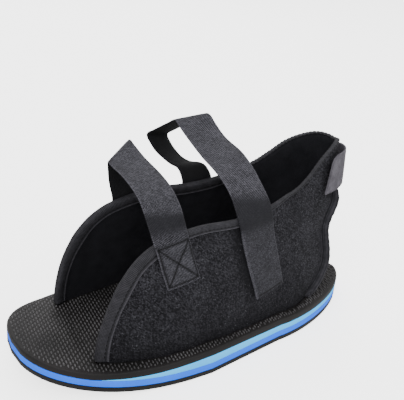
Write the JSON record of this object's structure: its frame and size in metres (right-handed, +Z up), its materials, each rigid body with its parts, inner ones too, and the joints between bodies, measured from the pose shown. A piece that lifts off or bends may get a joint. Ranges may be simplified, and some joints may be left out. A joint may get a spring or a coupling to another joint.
{
  "type": "post operative shoe",
  "caption": "Open-toed canvas post operative shoe: low side quarters and a raised bound heel on a layered rocker sole, webbing straps over the instep and a heel tab.",
  "frame": {"origin": "centre of the sole's length and width on its flat underside", "axes": "+X from toe to heel, +Y to the side where the straps loop out, +Z up"},
  "size_m": [0.285, 0.1351, 0.1509],
  "materials": {
    "outsole": "matt black rubber",
    "midsole": "matt mid-blue foam rubber",
    "wedge": "matt light-blue foam rubber",
    "footbed": "matt black, finely textured on top",
    "upper": "coarse black canvas",
    "edge_binding": "black woven tape",
    "heel_seam_binding": "black woven tape",
    "heel_tab": "dark grey loop pile",
    "front_strap": "charcoal webbing",
    "rear_strap": "charcoal webbing"
  },
  "bodies": {
    "root": {"outsole": "outsole", "midsole": "midsole", "wedge": "wedge", "footbed": "footbed", "upper": "upper", "edge_binding": "edge_binding", "heel_seam_binding": "heel_seam_binding", "heel_tab": "heel_tab", "front_strap": "front_strap", "rear_strap": "rear_strap"}
  },
  "joints": []
}
